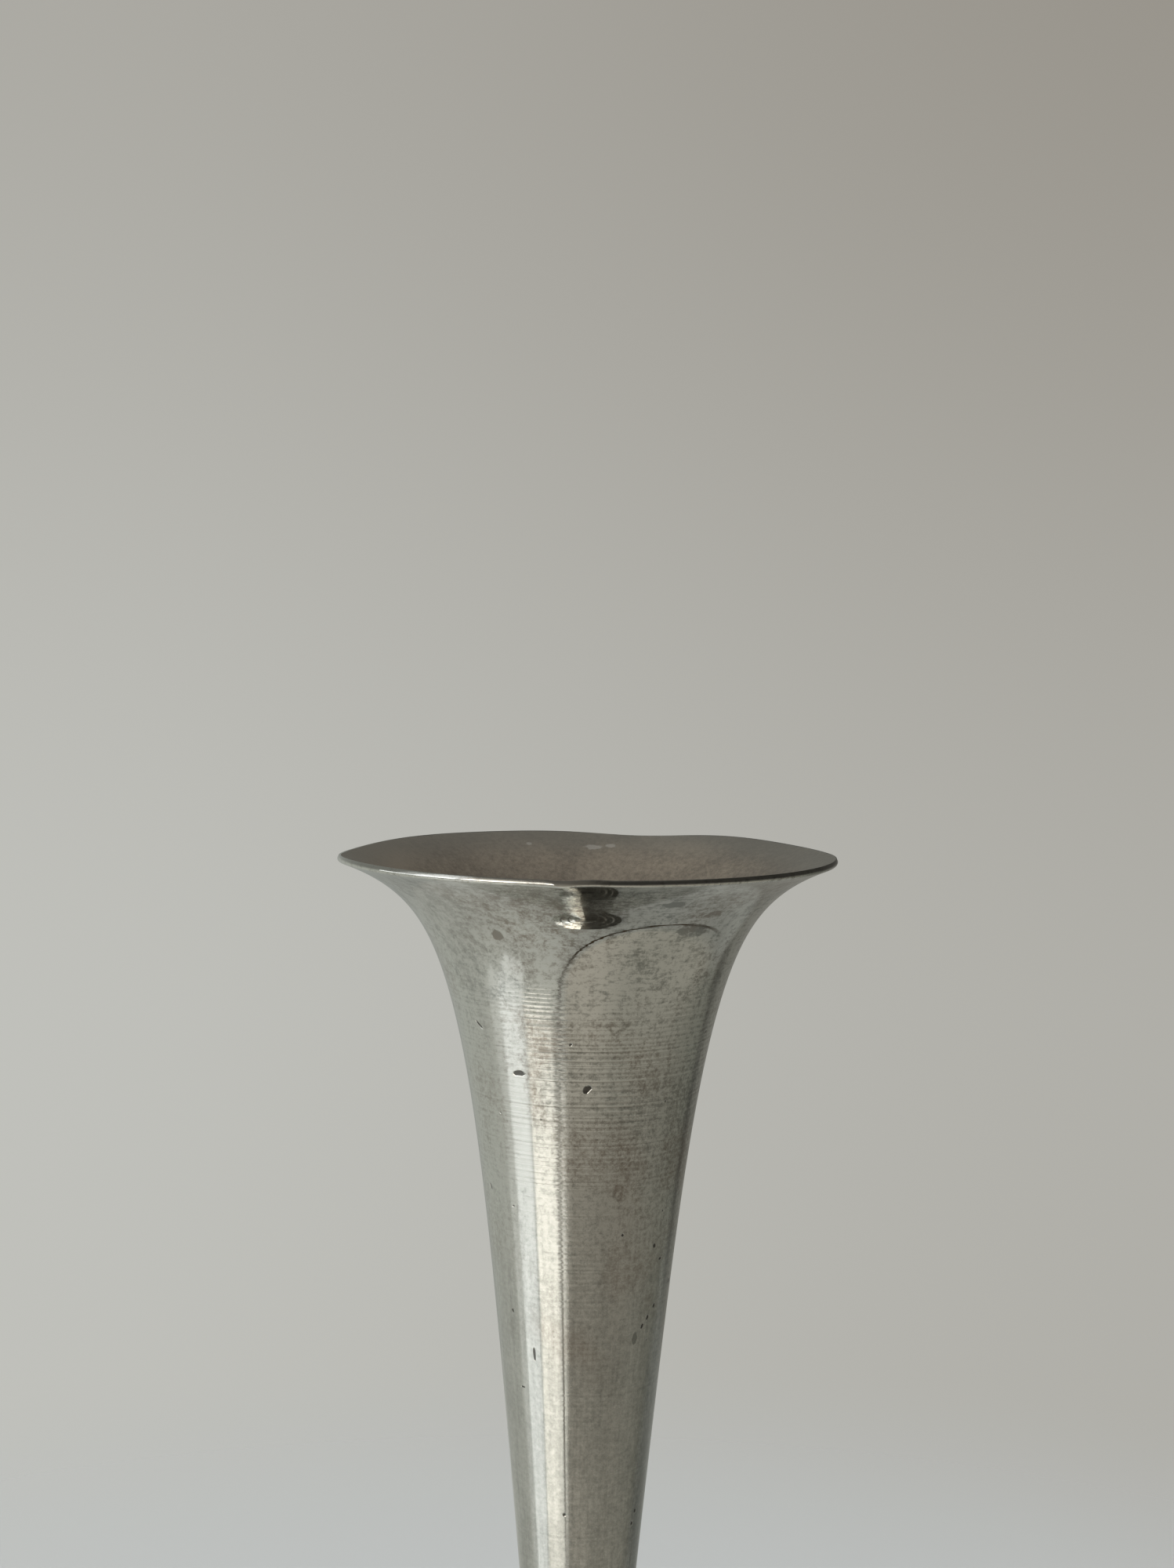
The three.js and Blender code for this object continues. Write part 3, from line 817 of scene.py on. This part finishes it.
dull_brass, tree, shader = start_material("dull_brass")
turned_finish(tree, shader)
place = object_place(tree)
lines = place_group(tree, lathe_lines, {"Place": place, "Pitch": 0.3})
age = place_group(tree, patina, {"Place": place, "Speck Share": 0.1})
tarnish = 0.45 + 1.5 * age["Clouds"] + 2.0 * age["Mottle"] + 0.5 * age["Specks"]
feed(tree, shader.inputs["Base Color"], mix_colours(tree, tarnish, BRASS, BRASS_DULL))
feed(tree, shader.inputs["Roughness"], 0.36 + 0.1 * tarnish)
emboss(tree, shader, 5 * lines["Ridges"] + 3 * lines["Fine"])
dress("stem_plug", dull_brass)


# Tie rod
# A length of zinc-plated M5 steel rod. It is screwed into the plug and runs down through the collar, the
# foot and its weight to the nut, so that one nut holds the whole vase together.
ZINC = rgb(0.50, 0.51, 0.53)
ZINC_DULL = rgb(0.30, 0.30, 0.30)
zinc_plate, tree, shader = start_material("zinc_plate")
shader.inputs["Metallic"].default_value = 1.0
place = object_place(tree)
lines = place_group(tree, lathe_lines, {"Place": place, "Pitch": 0.4})
age = place_group(tree, patina, {"Place": place, "Speck Share": 0.12})
dulled = 0.4 + 1.4 * age["Clouds"] + 2.2 * age["Mottle"] + 0.4 * age["Specks"]
feed(tree, shader.inputs["Base Color"], mix_colours(tree, dulled, ZINC, ZINC_DULL))
feed(tree, shader.inputs["Roughness"], 0.34 + 0.14 * dulled)
emboss(tree, shader, 3 * lines["Ridges"] + 5 * age["Mottle"])
dress("tie_rod", zinc_plate)


# Joint collar
# A bevelled ring, turned from the same grey metal as the trumpet. The nut clamps it between the ankle of
# the stem and the foot.
COLLAR_RADIUS = 15.4
COLLAR_TOP_RADIUS = 10.6
COLLAR_EDGE = 1.2
COLLAR_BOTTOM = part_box("joint_collar")[0].z / MM
COLLAR_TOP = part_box("joint_collar")[1].z / MM
BORE_RADIUS = 2.7
ROUNDING = 0.5
BURR = 0.1
CORNER_STEPS = 8
RUN_UP_SHARE = 0.02
FOOT_AROUND = 192


def rounded(corners):
    """Points of a closed outline with corners of (radius, height, rounding), each rounded off by an arc."""
    points = []
    for before, corner, after in zip(corners[-1:] + corners[:-1], corners, corners[1:] + corners[:1]):
        tip = Vector(corner[:2])
        back = (Vector(before[:2]) - tip).normalized()
        onward = (Vector(after[:2]) - tip).normalized()
        half = back.angle(onward) / 2
        centre = tip + (back + onward).normalized() * corner[2] / math.sin(half)
        start = tip + back * corner[2] / math.tan(half) - centre
        end = tip + onward * corner[2] / math.tan(half) - centre
        run_up = RUN_UP_SHARE * corner[2]
        points.append(centre + start + back * run_up)
        for step in range(CORNER_STEPS + 1):
            points.append(centre + corner[2] * start.slerp(end, step / CORNER_STEPS))
        points.append(centre + end + onward * run_up)
    return points + points[:1]


def turned(name, outline, finish):
    """Turns an outline of (radius, height) points, in millimetres, about the axis."""
    build = bmesh.new()
    corners = [build.verts.new((radius * MM, 0, height * MM)) for radius, height in outline]
    edges = [build.edges.new(pair) for pair in zip(corners, corners[1:])]
    bmesh.ops.spin(
        build, geom=corners + edges, axis=(0, 0, 1), angle=math.tau, steps=FOOT_AROUND, use_merge=True
    )
    bmesh.ops.remove_doubles(build, verts=build.verts, dist=MICRON)
    bmesh.ops.recalc_face_normals(build, faces=build.faces)
    for face in build.faces:
        face.smooth = True
    mesh = bpy.data.meshes.new(name)
    build.to_mesh(mesh)
    build.free()
    mesh.materials.append(finish)
    piece = bpy.data.objects.new(name, mesh)
    scene.collection.objects.link(piece)
    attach(piece, "root")
    return piece


worn_pewter, tree, shader = start_material("worn_pewter")
turned_finish(tree, shader)
place = object_place(tree)
lines = place_group(tree, lathe_lines, {"Place": place, "Pitch": 0.5})
age = place_group(tree, patina, {"Place": place, "Speck Share": 0.16})
stains = 0.2 + 1.0 * age["Clouds"] + 3.5 * age["Mottle"]
colour = mix_colours(tree, stains, PEWTER, PEWTER_STAIN)
feed(tree, shader.inputs["Base Color"], mix_colours(tree, 0.8 * age["Specks"], colour, PEWTER_PIT_AND_SHADE))
feed(tree, shader.inputs["Roughness"], 0.1 + 0.06 * stains)
emboss(tree, shader, 1.5 * lines["Ridges"] + 1.5 * lines["Fine"] - 30 * age["Specks"])

collar_outline = rounded([
    (BORE_RADIUS, COLLAR_BOTTOM, BURR),
    (COLLAR_RADIUS, COLLAR_BOTTOM, ROUNDING),
    (COLLAR_RADIUS, COLLAR_BOTTOM + COLLAR_EDGE, ROUNDING),
    (COLLAR_TOP_RADIUS, COLLAR_TOP, ROUNDING),
    (BORE_RADIUS, COLLAR_TOP, BURR),
])
collar = turned("collar", collar_outline, worn_pewter)
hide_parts("joint_collar")


# Foot shell
# The stepped round foot: sheet of the same metal, spun over a former into two bevelled tiers and cut off
# square at the rim. The rod passes through a hole in its top.
LOWER_TIER_RADIUS = 32.4
UPPER_TIER_RADIUS = 23.0
TIER_LEDGE = 2.0
RIM_HEIGHT = 2.4
STEP_HEIGHT = 1.0
BEVEL = math.radians(30)
FOOT_WALL = 0.9
RIM_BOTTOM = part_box("foot_shell")[0].z / MM
FOOT_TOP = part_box("foot_shell")[1].z / MM
RIM_TOP = RIM_BOTTOM + RIM_HEIGHT
LOWER_LEDGE = RIM_TOP + (LOWER_TIER_RADIUS - UPPER_TIER_RADIUS - TIER_LEDGE) * math.tan(BEVEL)
STEP_TOP = LOWER_LEDGE + STEP_HEIGHT
EDGE_DROP = FOOT_WALL * math.tan(BEVEL)
LEDGE_SHIFT = FOOT_WALL * math.tan(BEVEL / 2)

foot_outline = rounded([
    (LOWER_TIER_RADIUS - FOOT_WALL, RIM_BOTTOM, BURR),
    (LOWER_TIER_RADIUS, RIM_BOTTOM, BURR),
    (LOWER_TIER_RADIUS, RIM_TOP, ROUNDING),
    (UPPER_TIER_RADIUS + TIER_LEDGE, LOWER_LEDGE, ROUNDING),
    (UPPER_TIER_RADIUS, LOWER_LEDGE, ROUNDING),
    (UPPER_TIER_RADIUS, STEP_TOP, ROUNDING),
    (COLLAR_RADIUS + TIER_LEDGE, FOOT_TOP, ROUNDING),
    (BORE_RADIUS, FOOT_TOP, BURR),
    (BORE_RADIUS, FOOT_TOP - FOOT_WALL, BURR),
    (COLLAR_RADIUS + TIER_LEDGE - LEDGE_SHIFT, FOOT_TOP - FOOT_WALL, BURR),
    (UPPER_TIER_RADIUS - FOOT_WALL, STEP_TOP - EDGE_DROP, BURR),
    (UPPER_TIER_RADIUS - FOOT_WALL, LOWER_LEDGE - FOOT_WALL, BURR),
    (UPPER_TIER_RADIUS + TIER_LEDGE - LEDGE_SHIFT, LOWER_LEDGE - FOOT_WALL, BURR),
    (LOWER_TIER_RADIUS - FOOT_WALL, RIM_TOP - EDGE_DROP, BURR),
])
foot = turned("foot", foot_outline, worn_pewter)
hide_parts("foot_shell")


# Foot weight
# A rough black iron casting that fills the foot, so that so slender a vase does not tip. It has a pocket
# underneath for the washer and the nut.
IRON = rgb(0.055, 0.054, 0.052)
IRON_RUST = rgb(0.085, 0.05, 0.032)
GRAIN_SIZE = 0.6
cast_iron, tree, shader = start_material("cast_iron")
shader.inputs["Metallic"].default_value = 0.6
place = object_place(tree)
age = place_group(tree, patina, {"Place": place, "Speck Share": 0.3})
rust = 0.15 + 2.0 * age["Clouds"] + 1.5 * age["Mottle"]
feed(tree, shader.inputs["Base Color"], mix_colours(tree, rust, IRON, IRON_RUST))
feed(tree, shader.inputs["Roughness"], 0.72 + 0.15 * rust)
grain = noise_over(tree, place, GRAIN_SIZE, 4.0, 0.7)
emboss(tree, shader, 120 * grain - 60 * age["Specks"])
dress("foot_weight", cast_iron)


# Clamp washer and nut
# A plain washer and a thin M5 nut, zinc plated like the rod. They sit in the pocket of the casting and draw
# the trumpet down onto the collar and the foot.
dress("clamp_washer", zinc_plate)
dress("clamp_nut", zinc_plate)


# Base plate
# A disc of tinned sheet, stamped flat and pressed into the rim of the shell. It closes the foot over the
# nut, and the felt pad is glued to it.
TIN = rgb(0.44, 0.44, 0.43)
TIN_DULL = rgb(0.27, 0.265, 0.25)
CRYSTAL_SIZE = 4
tinned_sheet, tree, shader = start_material("tinned_sheet")
shader.inputs["Metallic"].default_value = 1.0
place = object_place(tree)
crystals = add_node(tree, "ShaderNodeTexVoronoi", {}, {"Vector": place, "Scale": 1 / (CRYSTAL_SIZE * MM)})
crystal_tone = parts_of(tree, crystals.outputs["Color"])[0]
age = place_group(tree, patina, {"Place": place, "Speck Share": 0.1})
dulled = 0.2 + 0.3 * crystal_tone + 1.2 * age["Clouds"] + 1.5 * age["Mottle"]
feed(tree, shader.inputs["Base Color"], mix_colours(tree, dulled, TIN, TIN_DULL))
feed(tree, shader.inputs["Roughness"], 0.4 + 0.15 * dulled)
emboss(tree, shader, 6 * age["Mottle"])
dress("base_plate", tinned_sheet)


# Felt pad
# A disc of dark green pressed felt, glued under the plate and a little proud of the rim, so that the vase
# stands softly and does not scratch. Its cut edge is slightly fuzzy and uneven.
FELT = rgb(0.045, 0.075, 0.05)
FELT_LIGHT = rgb(0.085, 0.12, 0.085)
PAD_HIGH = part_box("felt_pad")[1]
PAD_RADIUS = PAD_HIGH.x / MM
PAD_THICKNESS = PAD_HIGH.z / MM
PAD_EDGE = 0.35
PAD_RINGS = 24
FUZZ = 0.12
FUZZ_PER_METRE = 700
FIBRE_SIZE = 0.25
TUFT_SIZE = 1.6

pressed_felt, tree, shader = start_material("pressed_felt")
shader.inputs["Sheen Weight"].default_value = 0.25
shader.inputs["Sheen Roughness"].default_value = 0.6
shader.inputs["Specular IOR Level"].default_value = 0.1
place = object_place(tree)
fibres = noise_over(tree, place, FIBRE_SIZE, 4.0, 0.7, 1.5)
tufts = noise_over(tree, place, TUFT_SIZE, 3.0)
fluff = ramp(0.6 * fibres + 0.4 * tufts, 0.35, 0.65)
feed(tree, shader.inputs["Base Color"], mix_colours(tree, fluff, FELT, FELT_LIGHT))
feed(tree, shader.inputs["Roughness"], 0.88 + 0.1 * fibres)
emboss(tree, shader, 150 * fibres + 60 * tufts)

ring_radii = [(PAD_RADIUS - PAD_EDGE) * ring / PAD_RINGS for ring in range(PAD_RINGS)]
cut_edge = rounded([
    (0, 0, BURR), (PAD_RADIUS, 0, PAD_EDGE), (PAD_RADIUS, PAD_THICKNESS, PAD_EDGE), (0, PAD_THICKNESS, BURR)
])
cut_edge = [point for point in cut_edge if point[0] > PAD_RADIUS - 1.5 * PAD_EDGE]
under = [(radius, 0) for radius in ring_radii]
over = [(radius, PAD_THICKNESS) for radius in reversed(ring_radii)]
pad = turned("pad", under + cut_edge + over, pressed_felt)
for corner in pad.data.vertices:
    radius = corner.co.xy.length
    if radius > (PAD_RADIUS - PAD_EDGE) * MM:
        corner.co.xy *= 1 - FUZZ * MM * abs(noise.noise(corner.co * FUZZ_PER_METRE)) / radius
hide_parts("felt_pad")
